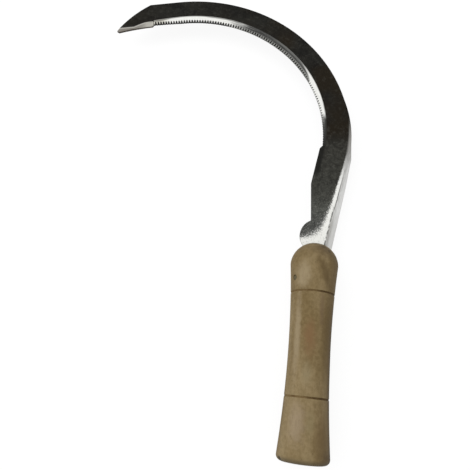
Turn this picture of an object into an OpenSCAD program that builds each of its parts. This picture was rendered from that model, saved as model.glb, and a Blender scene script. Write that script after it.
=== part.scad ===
// Serrated harvest sickle: a hooked steel blade with a toothed inner edge and a flat
// tang, a turned wooden handle that the tang is driven into, and the nail that locks it.
//
// Millimetres. The origin is the centre of the handle's butt face. +Y runs along the
// handle towards the blade, +Z is square to the blade's flat face, and the blade hooks
// over towards -X. The middle of the steel sheet lies in the plane z = 0, which also
// holds the handle's axis.

/* [Blade hook] */
// Radius of the toothed inner edge
edge_r = 97.6; // [85:0.1:110]
// Width of the blade from the toothed edge to its back
blade_w = 20.2; // [18:0.1:26]
// Thickness of the steel sheet
sheet_t = 2; // [1.6:0.1:2.6]
// Angle at which the round part of the edge ends, seen from the hook's centre
nose_deg = 103; // [95:1:108]
// Straight toothed run between the neck and the round part
heel_run = 4.2; // [3:0.1:16]
// Straight toothed run past the round part
nose_run = 22.3; // [16:0.1:26]
// Set-back of the last tooth by the tip from the line of that straight
nose_rise = 0.8; // [0:0.1:1.2]
// Swell of the blade's back past its circle, where the folded strip starts
back_swell = 0.8; // [0.2:0.05:1]
// Angle at which the swell starts
swell_deg = 18; // [12:1:26]

/* [Blade tip] */
// Reach of the tip's point past the round part
tip_reach = 52.3; // [46:0.1:58]
// Reach of the back's corner past the round part
back_reach = 23.7; // [18:0.1:28]
// Drop of the tip's point below the line of the straight teeth
tip_drop = 2.2; // [1:0.1:3]
// Step from the line of the teeth down to the plain lower edge
tip_step = 0.7; // [0.2:0.1:1.2]
// Droop of the plain lower edge under the tip's point
tip_droop = 1.1; // [1:0.1:3]
// Set-back of the blunt end from the point
tip_blunt = 1.4; // [0.5:0.1:3]
// Bow of the slanted end cut
tip_bow = 1.9; // [0.5:0.1:4]
// Hollow of the plain lower edge between the teeth and the point
tip_hollow = 0.5; // [0.1:0.1:1]
// Width of the plain facet above that edge, halfway along
facet_w = 3.8; // [2.5:0.1:4.5]
// Width of the plain facet at the point
point_facet_w = 3.2; // [2:0.1:4]
// Thickness that the shallow facet leaves at the lower edge beside the teeth
facet_t = 1.3; // [0.8:0.1:1.7]
// Thickness that it leaves at the point
point_t = 1.7; // [1:0.1:1.9]

/* [Ground edge and teeth] */
// Full width of the ground bevel
bevel_w = 5.6; // [4.5:0.1:8]
// Width of the bevel where the round part starts
bevel_heel_w = 2.4; // [2:0.1:4]
// Width of the bevel where it ends at the neck
bevel_end_w = 2.2; // [1.2:0.1:3]
// Width of the bevel at the last tooth by the tip
bevel_nose_w = 3.7; // [3:0.1:6]
// Thickness left at the ground edge
edge_t = 0.3; // [0.2:0.05:0.5]
// Distance from one tooth to the next
tooth_pitch = 2.1; // [1.9:0.05:3]
// Length of a tooth groove, from the edge into the bevel
tooth_len = 2.2; // [1.6:0.1:3]
// Depth of the notch that a groove leaves in the edge's outline
tooth_notch = 0.4; // [0.2:0.05:0.6]
// Half the angle between the two walls of a groove
tooth_half_deg = 57; // [45:1:57]

/* [Neck] */
// Distance of the blade's back from the handle's axis, level with the hook's centre
back_x = 21.1; // [18:0.1:25]
// Height of the hook's centre above the top of the handle
neck_h = 81; // [75:0.1:90]
// Distance of the neck's corner under the teeth from the axis
heel_x = 1.1; // [0:0.1:2]
// Drop of that corner below the last tooth
heel_drop = 2.4; // [1.5:0.1:5]
// Distance of the neck's widest place from the axis
belly_x = 5.8; // [4.5:0.1:7]
// Height of the neck's widest place above the handle
belly_h = 46; // [38:0.1:52]
// Distance of the neck's edge from the axis just above the shoulder
waist_x = 4.2; // [2:0.1:5]
// Height of that place above the handle
waist_h = 18.3; // [16.5:0.1:22]
// Radius of the round shoulder
shoulder_r = 12.4; // [10:0.1:13]
// Offset of the shoulder's centre from the axis
shoulder_x = 1; // [0:0.1:2]
// Height of the shoulder's centre above the handle
shoulder_h = 5.6; // [4.5:0.1:7]

/* [Folded back edge] */
// Width of the strip folded back along the neck, at the handle
fold_w = 7; // [5:0.1:9]
// Width of the strip at the end of its second run
fold_mid_w = 5.8; // [4:0.1:7]
// Width of the strip at the end of its first, steep run
fold_start_w = 4.2; // [2:0.1:5]
// Distance along the crease to the end of that run
fold_start_run = 12; // [8:1:18]
// Distance along the crease to the end of its second run
fold_mid_run = 36; // [24:1:60]
// Distance along the crease to the start of its round bend
fold_from = 2; // [1:0.5:6]
// Angle of the fold
fold_deg = 40; // [20:1:50]

/* [Tang] */
// Width of the tang at the handle's top
tang_w = 12.2; // [11:0.1:15]
// Width of the tang at its end
tang_end_w = 7; // [4:0.1:9]
// Depth of the tang's parallel part in the handle
tang_straight = 38; // [30:1:50]
// Whole depth of the tang in the handle
tang_len = 92; // [70:1:105]
// Clearance of the slot round the tang
slot_gap = 0.25; // [0.15:0.05:0.4]

/* [Handle] */
// Length of the handle
handle_len = 140.3; // [130:0.1:160]
// Largest diameter at the butt
butt_d = 33.2; // [30:0.1:38]
// Smallest diameter, at the waist
grip_d = 27.4; // [24:0.1:30]
// Diameter where the domed top starts
head_d = 32.4; // [29:0.1:36]
// Distance of the waist from the butt face
grip_y = 67.3; // [58:1:76]
// Radius of the rounded edge round the butt face
butt_round = 3.5; // [2:0.1:6]
// Distance of the lower scored line from the butt face
score_low_y = 38; // [30:0.1:48]
// Distance of the upper scored line from the butt face
score_high_y = 104.4; // [95:0.1:108]
// Width of a scored line
score_w = 1.3; // [0.8:0.1:2]

/* [Lock nail] */
// Distance of the nail from the butt face
nail_y = 113.3; // [112:0.1:119]
// Turn of the nail from the blade's front towards the hook
nail_deg = 61; // [0:1:61]
// Diameter of the nail's shank
nail_d = 2.2; // [1.6:0.1:2.4]
// Diameter of the nail's head
nail_head_d = 3.4; // [3:0.1:5]
// Thickness of the nail's head
nail_head_t = 1.2; // [0.8:0.1:2]
// Length of the nail from its head to its point
nail_len = 26; // [22:0.5:27]
// Length of the nail's point
nail_point = 3; // [1:0.5:4]
// Depth of the head's face under the wood's surface
nail_sunk = 0.2; // [0:0.05:0.5]
// Clearance round the nail in the wood and the tang
nail_gap = 0.1; // [0.05:0.05:0.2]

/* [Hidden] */

$fn = 96;

// Degrees between two points of a round outline
arc_step = 2;
// Degrees between two sections of the ground bevel
bevel_step = 4.8;
// How far one solid reaches into the next where they are joined
lap = 1;

half_t = sheet_t / 2;
back_r = edge_r + blade_w;
hook_c = [back_x - back_r, handle_len + neck_h];

// Steps in the handle's waisted outline
grip_steps = 24;
// Steps in the line of the teeth past the round part
nose_steps = 4;

// The cutters reach this far past the edge and above the sheet.
past_edge = 3;
// Power by which the bevel narrows towards the neck: it keeps its width at first
bevel_fade = 3;

round_len = edge_r * nose_deg * PI / 180;
tooth_count = floor((heel_run + round_len + nose_run) / tooth_pitch);

// Height of a cutter's V: it clears the steel and stays narrower than a tooth.
groove_h = 0.99 * tooth_pitch / 2 / tan(tooth_half_deg);

// The crease starts inside the back by what the folded strip's front corner stands out.
swell_end = [back_x + back_swell, hook_c[1]];
crease_top = swell_end - [half_t * sin(fold_deg), 0];
crease_foot = [tang_w / 2, handle_len];
crease_v = crease_foot - crease_top;
crease_len = norm(crease_v);
crease_turn = atan2(crease_v[1], crease_v[0]);

dome_r = head_d / 2;
dome_y = handle_len - dome_r;

function polar(c, r, a) = c + r * [cos(a), sin(a)];

// Points on a circle from angle a to angle b
function arc(c, r, a, b) =
    let (n = max(2, ceil(abs(b - a) / arc_step)))
    [for (i = [0:n]) polar(c, r, a + (b - a) * i / n)];

// Points from p to q on an arc that bows out by bow on the left of the way, or to the
// right where bow is negative
function bowed(p, q, bow) =
    let (chord = norm(q - p), r = (chord * chord / 4 + bow * bow) / (2 * bow))
    let (way = (q - p) / chord, left = [-way[1], way[0]])
    let (c = (p + q) / 2 - (r - bow) * left, half = asin(chord / 2 / r))
    let (mid = atan2(left[1], left[0]))
    arc(c, r, mid + half, mid - half);

// A point given along the straight past the nose (u) and outwards from the edge (w)
function past_nose(u, w) =
    polar(hook_c, edge_r + w, nose_deg) + u * [-sin(nose_deg), cos(nose_deg)];

// Angle at the hook's centre for a distance s along the edge, from its end at the neck
function edge_angle(s) =
    min(nose_deg, max(0, (s - heel_run) * 180 / PI / edge_r));

// Distance along the straight before or past the round part, 0 on the round part
function straight_at(s) =
    s < heel_run ? s - heel_run : max(0, s - heel_run - round_len);

// A point at a distance s along the edge, moved w outwards into the steel
function edge_point(s, w) =
    let (a = edge_angle(s))
    polar(hook_c, edge_r + w, a) + straight_at(s) * [-sin(a), cos(a)];

// How far the teeth are set back from the line of their straight, u past the round part
function set_back(u) = nose_rise * sin(90 * u / nose_run);

// The same at a distance s along the edge
function set_back_at(s) = set_back(max(0, straight_at(s)));

// Width of the bevel at a distance s along the edge: it fades towards the neck
function bevel_w_at(s) =
    let (turned = edge_angle(s) / nose_deg)
    s < heel_run ? bevel_end_w + (bevel_heel_w - bevel_end_w) * s / heel_run
    : bevel_w - (bevel_w - bevel_heel_w) * pow(1 - turned, bevel_fade)
        - (bevel_w - bevel_nose_w) * straight_at(s) / nose_run;

// How much the bevel rises for each millimetre away from an edge left t thick
function bevel_slope(width, t = edge_t) = (sheet_t - t) / width;

// Radius of the handle between the butt and the dome
function handle_r(y) =
    let (far_r = (y < grip_y ? butt_d : head_d) / 2)
    let (reach = y < grip_y ? grip_y - butt_round : dome_y - grip_y)
    grip_d / 2 + (far_r - grip_d / 2) * pow((y - grip_y) / reach, 2);

// Outline of the tang, grown by a clearance
function tang_outline(gap) =
    let (half = tang_w / 2 + gap, end_half = tang_end_w / 2 + gap)
    let (low = handle_len - tang_straight, end = handle_len - tang_len - gap)
    [
        [-half, handle_len + lap], [-half, low],
        [-end_half, end + tang_end_w / 2], [-end_half / 2, end],
        [end_half / 2, end], [end_half, end + tang_end_w / 2],
        [half, low], [half, handle_len + lap]
    ];

module sheet(outline, t = sheet_t) {
    translate([0, 0, -t / 2])
        linear_extrude(t)
            polygon(outline);
}

// The round part of the hook
module hook_band() {
    translate([hook_c[0], hook_c[1], -half_t])
        rotate_extrude(angle = nose_deg, $fn = 360)
            translate([edge_r, 0])
                square([blade_w, sheet_t]);
}

// The straight part past the nose, with the slanted end
module tip_plate() {
    point = past_nose(tip_reach, -tip_drop);
    low = past_nose(tip_reach - tip_blunt, -tip_drop - tip_droop);
    plain_start = past_nose(nose_run + 2 * tip_step, -tip_step);
    corner = past_nose(back_reach, blade_w);
    sheet(concat(
        [past_nose(-lap, lap)],
        [for (i = [0:nose_steps]) let (u = nose_run * i / nose_steps) past_nose(u, set_back(u))],
        bowed(plain_start, low, -tip_hollow),
        bowed(point, corner, tip_bow),
        [past_nose(0, blade_w), past_nose(-lap, blade_w - lap)]
    ));
}

// Everything flat between the hook and the tang, left of the crease
module neck_plate() {
    edge_x = hook_c[0] + edge_r;
    heel_y = hook_c[1] - heel_run;
    sheet(concat(
        [[edge_x + lap, hook_c[1] + lap], [edge_x, hook_c[1]], [edge_x, heel_y]],
        [[-heel_x, heel_y - heel_drop]],
        [[-belly_x, handle_len + belly_h], [-waist_x, handle_len + waist_h]],
        [[shoulder_x - shoulder_r / 2, handle_len + shoulder_h + shoulder_r / 2]],
        [[shoulder_x - shoulder_r / 2, handle_len + shoulder_h], [-tang_w / 2, handle_len]],
        [crease_foot, crease_top, swell_end, [back_x - lap, hook_c[1] + lap]]
    ));
}

// The slight swell of the back, from its circle down to the top of the crease
module swell_plate() {
    own_bow = back_r * (1 - cos(swell_deg / 2));
    start = polar(hook_c, back_r, swell_deg);
    sheet(concat(
        [polar(hook_c, back_r - lap, swell_deg)],
        bowed(start, swell_end, own_bow + back_swell / 2),
        [[back_x - lap, hook_c[1]]]
    ));
}

// The round shoulder that sits on the handle's top, cut off at the crease
module shoulder(gap = 0, t = sheet_t) {
    intersection() {
        translate([shoulder_x, handle_len + shoulder_h, -t / 2])
            cylinder(r = shoulder_r + gap, h = t);
        sheet([
            [-2 * shoulder_r, handle_len - shoulder_r],
            crease_foot + [gap, -shoulder_r],
            crease_foot + [gap, 0],
            crease_top + [gap, 0],
            [-2 * shoulder_r, hook_c[1]]
        ], t + lap);
    }
}

module tang_plate(gap = 0) {
    sheet(tang_outline(gap), sheet_t + 2 * gap);
}

// The strip folded back along the neck, with its round bend, ending over the dome
module folded_strip() {
    difference() {
        translate(crease_top)
            rotate([0, 0, crease_turn]) {
                rotate([-fold_deg, 0, 0])
                    sheet([
                        [0, 0],
                        [crease_len + dome_r, 0],
                        [crease_len + dome_r, fold_w],
                        [crease_len, fold_w],
                        [fold_mid_run, fold_mid_w],
                        [fold_start_run, fold_start_w]
                    ]);
                translate([fold_from, 0, 0])
                    rotate([0, 90, 0])
                        cylinder(r = half_t, h = crease_len - fold_from);
            }
        translate([0, dome_y, 0])
            sphere(r = dome_r + slot_gap);
        tang_side_room();
    }
}

// The space beside the tang, inside the handle, that the folded strip stays out of
module tang_side_room() {
    translate([-2 * dome_r, dome_y - 2 * dome_r, -2 * dome_r])
        cube([4 * dome_r, 2 * dome_r, 4 * dome_r]);
}

// Stations of the bevel along the edge, each with the distance s along the edge, the
// offsets of the bevel's upper border and of its lower edge from the line of the teeth,
// and the thickness left at that edge
function bevel_stations() =
    let (last = heel_run + round_len + nose_run, droop = tip_drop + tip_droop)
    let (narrow = last + (tip_reach - nose_run) / 2, past = last + tip_reach)
    let (round_steps = ceil(nose_deg / bevel_step))
    let (narrow_edge = -(tip_step + droop) / 2)
    concat(
        [[0, bevel_w_at(0), 0, edge_t]],
        [for (i = [0:round_steps])
            let (s = heel_run + round_len * i / round_steps) [s, bevel_w_at(s), 0, edge_t]],
        [for (i = [1:nose_steps])
            let (s = heel_run + round_len + nose_run * i / nose_steps, back = set_back_at(s))
            [s, back + bevel_w_at(s), back, edge_t]],
        [[last + 2 * tip_step, nose_rise + bevel_nose_w, -tip_step, facet_t]],
        [[narrow, narrow_edge + facet_w, narrow_edge, (facet_t + point_t) / 2]],
        [[past, point_facet_w - droop, -droop, point_t]]
    );

// Section of the bevel cutter at one station, as four points on a plane across the edge
function bevel_section(station) =
    let (s = station[0], border = station[1], edge = station[2])
    let (slope = bevel_slope(border - edge, station[3]))
    let (out = edge - past_edge, top = 2 * sheet_t)
    [
        for (p = [
            [border + lap, half_t + lap * slope],
            [out, half_t - slope * (border - out)],
            [out, top],
            [border + lap, top]
        ]) concat(edge_point(s, p[0]), [p[1]])
    ];

// Everything above the ground bevel, swept along the edge from the neck to the tip
module bevel_cutter() {
    stations = bevel_stations();
    last = len(stations) - 1;
    points = [for (station = stations) each bevel_section(station)];
    sides = [
        for (i = [0:last - 1], k = [0:3])
            let (a = 4 * i + k, b = 4 * i + (k + 1) % 4)
            each [[a, a + 4, b + 4], [a, b + 4, b]]
    ];
    first_cap = [[0, 1, 2], [0, 2, 3]];
    last_cap = [for (t = first_cap) [for (k = [2:-1:0]) t[k] + 4 * last]];
    polyhedron(points, concat(sides, first_cap, last_cap));
}

// Places a groove at a distance s along the edge: x into the steel, y along the edge,
// z = 0 on the bevel's surface at the edge
module on_edge(s) {
    at = edge_point(s, set_back_at(s));
    translate([at[0], at[1], edge_t - half_t])
        rotate([0, 0, edge_angle(s)])
            children();
}

// V cutter of one tooth groove: its bottom leaves the bevel tooth_len from the edge and
// passes the full edge thickness tooth_notch from the edge
module tooth_groove(slope) {
    top_z = slope * tooth_len;
    rise = atan2(top_z + edge_t, tooth_len - tooth_notch);
    half_w = groove_h * tan(tooth_half_deg);
    translate([tooth_notch, 0, -edge_t])
        rotate([0, -rise, 0])
            translate([-past_edge / 2, 0, 0])
                rotate([90, 0, 90])
                    linear_extrude(past_edge / 2 + (tooth_len - tooth_notch) / cos(rise))
                        polygon([[0, 0], [half_w, groove_h], [-half_w, groove_h]]);
}

// Frame of the nail: z from the handle's axis out through the wood to the head
module along_nail() {
    translate([0, nail_y, 0])
        rotate([0, -nail_deg, 0])
            children();
}

module blade() {
    color([0.24, 0.24, 0.22])
        difference() {
            union() {
                hook_band();
                tip_plate();
                neck_plate();
                swell_plate();
                shoulder();
                tang_plate();
                folded_strip();
            }
            bevel_cutter();
            for (i = [0:tooth_count - 1])
                on_edge((i + 0.5) * tooth_pitch)
                    tooth_groove(bevel_slope(bevel_w_at((i + 0.5) * tooth_pitch)));
            along_nail()
                translate([0, 0, -tang_w])
                    cylinder(r = nail_d / 2 + nail_gap, h = 2 * tang_w);
        }
}

// Waisted outline between the butt's rounded rim and the dome: radius against the
// distance from the butt face
module turned_profile() {
    polygon(concat(
        [[0, butt_round]],
        [for (i = [0:grip_steps]) let (y = butt_round + (dome_y - butt_round) * i / grip_steps)
            [handle_r(y), y]],
        [[0, dome_y]]
    ));
}

// The butt: a flat face inside a rounded rim
module butt() {
    flat_r = handle_r(butt_round) - butt_round;
    cylinder(r = flat_r, h = butt_round);
    intersection() {
        rotate_extrude()
            translate([flat_r, butt_round])
                circle(r = butt_round);
        cylinder(d = 2 * butt_d, h = butt_round);
    }
}

// The turned wood, standing on its butt face
module turned_wood() {
    butt();
    rotate_extrude()
        turned_profile();
    translate([0, 0, dome_y])
        sphere(r = dome_r);
}

// Scored line round the handle
module score_ring(y) {
    rotate_extrude()
        translate([handle_r(y), y])
            circle(d = score_w, $fn = 24);
}

module handle() {
    head_seat = handle_r(nail_y) - nail_sunk - nail_head_t;
    color([0.56, 0.49, 0.35])
        difference() {
            rotate([-90, 0, 0])
                difference() {
                    turned_wood();
                    score_ring(score_low_y);
                    score_ring(score_high_y);
                }
            tang_plate(slot_gap);
            shoulder(slot_gap, sheet_t + 2 * slot_gap);
            along_nail() {
                translate([0, 0, head_seat - nail_len])
                    cylinder(r = nail_d / 2 + nail_gap, h = nail_len);
                translate([0, 0, head_seat - nail_gap])
                    cylinder(r = nail_head_d / 2 + nail_gap, h = butt_d);
            }
        }
}

module lock_nail() {
    head_seat = handle_r(nail_y) - nail_sunk - nail_head_t;
    color([0.30, 0.28, 0.25])
        along_nail() {
            translate([0, 0, head_seat])
                cylinder(d = nail_head_d, h = nail_head_t);
            translate([0, 0, head_seat - nail_len + nail_point])
                cylinder(d = nail_d, h = nail_len - nail_point + nail_head_t / 2);
            translate([0, 0, head_seat - nail_len + nail_gap])
                cylinder(d1 = nail_d / 4, d2 = nail_d, h = nail_point);
        }
}

blade();
handle();
lock_nail();
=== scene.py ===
import math

import bmesh
import bpy
from mathutils import Matrix, Vector, noise


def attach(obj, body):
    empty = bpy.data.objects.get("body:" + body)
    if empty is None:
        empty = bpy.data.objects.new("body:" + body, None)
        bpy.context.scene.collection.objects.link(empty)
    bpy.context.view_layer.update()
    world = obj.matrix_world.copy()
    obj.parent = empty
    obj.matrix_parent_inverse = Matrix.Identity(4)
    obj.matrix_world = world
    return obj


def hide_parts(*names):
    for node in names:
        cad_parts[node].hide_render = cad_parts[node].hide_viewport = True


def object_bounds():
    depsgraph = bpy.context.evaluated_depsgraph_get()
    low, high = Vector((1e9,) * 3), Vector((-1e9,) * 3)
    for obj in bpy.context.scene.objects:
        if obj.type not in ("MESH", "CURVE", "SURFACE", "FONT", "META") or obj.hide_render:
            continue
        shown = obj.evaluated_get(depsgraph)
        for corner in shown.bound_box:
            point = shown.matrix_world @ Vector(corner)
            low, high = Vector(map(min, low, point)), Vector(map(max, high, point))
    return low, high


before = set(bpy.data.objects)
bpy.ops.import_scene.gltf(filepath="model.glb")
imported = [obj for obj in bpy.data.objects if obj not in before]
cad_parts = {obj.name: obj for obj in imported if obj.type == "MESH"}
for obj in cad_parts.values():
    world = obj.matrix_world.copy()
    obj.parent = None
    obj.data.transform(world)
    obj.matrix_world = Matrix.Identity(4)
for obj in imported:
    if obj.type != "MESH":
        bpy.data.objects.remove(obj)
cad_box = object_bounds()

MM = 0.001

# Points closer than MERGE are one, and TOUCH is the play between shapes that meet
MERGE = 0.001 * MM
TOUCH = 0.01 * MM

# Edges that turn more than SHARP are sharp, and faces that turn less than FLAT are one
SHARP = math.radians(60)
FLAT = math.radians(0.2)

# Blade, in metres
EDGE_R = 97.6 * MM
BLADE_W = 20.2 * MM
SHEET_T = 2.0 * MM
BACK_X = 21.1 * MM
BACK_SWELL = 0.8 * MM
SHOULDER_R = 12.4 * MM
SHOULDER_X = 1.0 * MM
SHOULDER_H = 5.6 * MM
NECK_H = 81.0 * MM
RIM_ROUND = 0.28 * MM
NOSE_TURN = math.radians(103)
FOLD_TURN = math.radians(40)
FOLD_FROM = 2.0 * MM

# Its ground edge, in millimetres
HEEL_RUN = 4.2
NOSE_RUN = 22.3
NOSE_RISE = 0.8
BEVEL_W = 5.6
BEVEL_HEEL_W = 2.4
BEVEL_NOSE_W = 3.7
TOOTH_PITCH = 2.1
ROUND_END = 175.5
TEETH_END = 198.0

# The slanted line on the facet, in millimetres, over which the dark skin lies
LINE_FROM = 204.6
LINE_TOP = 3.5
LINE_LOW = 0.15
LINE_FALL = 0.35

# The slanted edge of the neck below the teeth, in millimetres
SLANT_TOP = 74.4
SLANT_TOP_X = -1.1
SLANT_LEAN = -4.7 / 28.4

# Handle, in metres
HANDLE_LEN = 140.3 * MM
BUTT_R = 16.6 * MM
GRIP_R = 13.7 * MM
HEAD_R = 16.2 * MM
GRIP_Y = 67.3 * MM
BUTT_ROUND = 3.5 * MM
SCORE_YS = (38.0 * MM, 104.4 * MM)
SCORE_HALF = 0.95 * MM
SCORE_CLEAR = SCORE_HALF * 1.3
SCORE_DEPTH = 0.28 * MM
TANG_W = 12.2 * MM
TANG_END_W = 7.0 * MM
TANG_STRAIGHT = 38.0 * MM
TANG_LEN = 92.0 * MM
SLOT_GAP = 0.25 * MM
SLOT_OPEN = 4.0 * MM
DOME_Y = HANDLE_LEN - HEAD_R
WAVE_DEPTH = 0.1 * MM
WAVES_PER_METRE = 35
UNWORN_R = 1.0 * MM
CHIP_AT = Vector((-15.0, 1.6, 5.7)) * MM
CHIP_SIZE = Vector((1.7, 1.6, 2.2)) * MM
CHIP_REACH = 2.0 * MM
CHIP_DEPTH = 0.9 * MM

# Steps in the round outlines
TURN_STEPS = 144
FLAT_STEPS = 8
RIM_STEPS = 12
GRIP_STEPS = 90
SCORE_STEPS = 6
DOME_STEPS = 32
SHOULDER_STEPS = 48
NAIL_STEPS = 32

# Nail, in metres
NAIL_Y = 113.3 * MM
NAIL_TURN = math.radians(61)
NAIL_R = 1.1 * MM
NAIL_HEAD_R = 1.7 * MM
NAIL_HEAD_T = 1.2 * MM
NAIL_LEN = 26.0 * MM
NAIL_POINT = 3.0 * MM
NAIL_SUNK = 0.2 * MM
NAIL_CROWN = 0.1 * MM
NAIL_GAP = 0.1 * MM
SEAT_CUT = 4.0 * MM

# Places that follow from these
HOOK_X = BACK_X - (EDGE_R + BLADE_W)
HOOK_Y = HANDLE_LEN + NECK_H
CREASE_FOOT_X = TANG_W / 2
CREASE_TOP_X = BACK_X + BACK_SWELL - SHEET_T / 2 * math.sin(FOLD_TURN)
CREASE_LEAN = (CREASE_TOP_X - CREASE_FOOT_X) / NECK_H

# Camera
IMAGE_SIZE = 470
VIEW_TILT = math.radians(18)
VIEW_TURN = math.radians(6.08)
CAMERA_AT = Vector((-44.6, 33.1, 332.9)) * MM
LENS = 38.3
SENSOR = 36
HALF_PIXEL = 0.5 / IMAGE_SIZE

# Light and floor
LAMP_AT = (-0.7, 0.45, 1.1)
LAMP_SIZE = 1.3
LAMP_POWER = 7.2
ROOM_LIGHT = 0.62
FLOOR_TONE = (0.86, 0.86, 0.86, 1.0)
SEEN_FLOOR_TONE = (0.16, 0.16, 0.16, 1.0)
FLOOR_GLOW = 0.89
FLOOR_HALF = 3.0
FLOOR_GAP = 0.2 * MM

# Tones of the steel, 0 to 255, at places in millimetres. The first four run along the line
# of the teeth, and the others up the neck from the top of the handle.
HEEL_TONES = [
    (-5, (40, 40, 38)), (0, (56, 56, 54)), (8, (84, 84, 82)), (14, (104, 104, 101)),
    (19, (160, 160, 157)), (24, (200, 200, 197)),
]
# Painted shade: dark tones for the grooves of the teeth and the line along them
GROOVE_SHADE_TONES = [
    (-5, (44, 44, 41)), (12, (60, 60, 57)), (20, (110, 110, 107)), (28, (40, 40, 38)),
    (48, (34, 34, 32)), (60, (40, 40, 38)), (76, (24, 24, 22)), (134, (18, 18, 16)),
    (144, (8, 8, 7)), (198, (6, 6, 5)),
]
FACET_TONES = [
    (198, (206, 204, 195)), (204, (188, 186, 178)), (208, (152, 149, 142)),
    (216, (134, 130, 124)), (228, (152, 148, 142)),
]
# Painted sheen on the back where it rolls over into the fold
ROLL_SHEEN_TONES = [(-14, (172, 170, 167)), (0, (152, 150, 146)), (16, (100, 99, 95))]
# Painted reflection: pale tones where the sheet curves at the foot of the neck
PALE_REFLECTION_TONES = [
    (0, (240, 240, 235)), (42, (242, 242, 238)), (49, (240, 240, 237)),
    (55, (226, 226, 223)), (62, (190, 190, 187)), (78, (150, 149, 146)),
]
NECK_TONES = [
    (5, (84, 85, 82)), (15, (80, 81, 78)), (26, (82, 83, 78)), (36, (64, 64, 59)),
    (52, (56, 56, 51)), (74, (52, 51, 46)), (92, (28, 27, 23)),
]
FOLD_DARKER = [
    (0, (150, 149, 145)), (13, (158, 157, 152)), (28, (192, 192, 189)), (45, (176, 175, 172)),
    (64, (168, 167, 164)), (70, (150, 149, 146)), (80, (142, 140, 137)),
]
FOLD_LIGHTER = [
    (0, (190, 189, 185)), (13, (194, 193, 189)), (28, (228, 228, 226)), (45, (214, 214, 212)),
    (64, (208, 208, 206)), (70, (182, 181, 178)), (80, (176, 174, 171)),
]
FOLD_RIM_TONES = [
    (0, (190, 190, 186)), (50, (206, 206, 203)), (62, (196, 196, 192)), (70, (168, 167, 164)),
    (84, (152, 151, 147)), (98, (110, 109, 104)),
]


def rgb(red, green, blue):
    """A colour as read off a picture, 0 to 255, in the linear values that nodes take."""
    def linear(value):
        part = value / 255
        return part / 12.92 if part <= 0.04045 else ((part + 0.055) / 1.055) ** 2.4

    return (linear(red), linear(green), linear(blue), 1.0)


# Node helpers


def put(socket, value):
    """Links a socket, or sets a plain value."""
    if isinstance(value, bpy.types.NodeSocket):
        socket.id_data.links.new(value, socket)
    else:
        socket.default_value = value


def add(tree, kind, inputs=None, **settings):
    """A node with its settings and inputs, given by name or number."""
    made = tree.nodes.new(kind)
    for name, value in settings.items():
        setattr(made, name, value)
    for name, value in (inputs or {}).items():
        put(made.inputs[name], value)
    return made


def calc(tree, operation, *values):
    """One step of arithmetic on numbers."""
    made = add(tree, "ShaderNodeMath", operation=operation)
    for socket, value in zip(made.inputs, values):
        put(socket, value)
    return made.outputs[0]


def times(tree, *values):
    """The product of several numbers."""
    product = values[0]
    for value in values[1:]:
        product = calc(tree, "MULTIPLY", product, value)
    return product


def spread(tree, value, low, high, new_low=0.0, new_high=1.0):
    """A number moved smoothly from one range to another and held at its ends."""
    made = add(tree, "ShaderNodeMapRange", interpolation_type="SMOOTHSTEP")
    for socket, number in zip(made.inputs, (value, low, high, new_low, new_high)):
        put(socket, number)
    return made.outputs[0]


def blend(tree, factor, first, second):
    """A colour between two others."""
    made = add(tree, "ShaderNodeMix", data_type="RGBA")
    put(made.inputs[0], factor)
    put(made.inputs[6], first)
    put(made.inputs[7], second)
    return made.outputs[2]


def tones(tree, value, stops):
    """A colour that runs through stops of a number, each with its tone from 0 to 255."""
    low, high = stops[0][0], stops[-1][0]
    ramp = add(tree, "ShaderNodeValToRGB")
    points = ramp.color_ramp.elements
    points[0].color = rgb(*stops[0][1])
    points[1].color = rgb(*stops[-1][1])
    for place, tone in stops[1:-1]:
        points.new((place - low) / (high - low)).color = rgb(*tone)
    moved = add(tree, "ShaderNodeMapRange", {0: value, 1: low, 2: high})
    put(ramp.inputs[0], moved.outputs[0])
    return ramp.outputs[0]


def in_mm(tree, place):
    """The three parts of a place, in millimetres."""
    parts = add(tree, "ShaderNodeSeparateXYZ", {0: place}).outputs
    return [calc(tree, "MULTIPLY", part, 1 / MM) for part in parts]


def pair(tree, across, along):
    """A place on a flat pattern, from two numbers."""
    return add(tree, "ShaderNodeCombineXYZ", {0: across, 1: along}).outputs[0]


def scaled(tree, place, across, along, depth):
    """A place scaled by its own amount in each direction."""
    made = add(tree, "ShaderNodeMapping", {"Vector": place, "Scale": (across, along, depth)})
    return made.outputs[0]


def grain(tree, place, scale, detail, rough):
    """Soft noise from 0 to 1."""
    settings = {"Vector": place, "Scale": scale, "Detail": detail, "Roughness": rough}
    return add(tree, "ShaderNodeTexNoise", settings).outputs[0]


def brushed(tree, across, across_scale, along, along_scale, rough):
    """Brush marks from 0 to 1 on a flat pattern, from two places with their scales."""
    at = pair(tree, times(tree, across, across_scale), times(tree, along, along_scale))
    return grain(tree, at, 1.0, 4.0, rough)


def open_group(name, takes, gives):
    """A node group with named inputs and outputs, its tree, and its two ends."""
    tree = bpy.data.node_groups.new(name, "ShaderNodeTree")
    for socket, kind in takes:
        tree.interface.new_socket(socket, in_out="INPUT", socket_type=kind)
    for socket, kind in gives:
        tree.interface.new_socket(socket, in_out="OUTPUT", socket_type=kind)
    return tree, tree.nodes.new("NodeGroupInput"), tree.nodes.new("NodeGroupOutput")


def use(tree, group, inputs):
    """Places a group in a tree, with its inputs, and gives its outputs."""
    made = add(tree, "ShaderNodeGroup", node_tree=group)
    for name, value in inputs.items():
        put(made.inputs[name], value)
    return made.outputs


def open_material(name):
    """A new material: its tree, its shader and the place on the object, in metres."""
    made = bpy.data.materials.new(name)
    made.use_nodes = True
    tree = made.node_tree
    shader = tree.nodes["Principled BSDF"]
    place = add(tree, "ShaderNodeTexCoord").outputs["Object"]
    return made, tree, shader, place


def bump(tree, shader, height, distance, strength=1.0):
    """Relief of a given depth, in metres."""
    made = add(tree, "ShaderNodeBump", {"Height": height, "Distance": distance})
    made.inputs["Strength"].default_value = strength
    put(shader.inputs["Normal"], made.outputs[0])


# Shared effects


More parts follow.
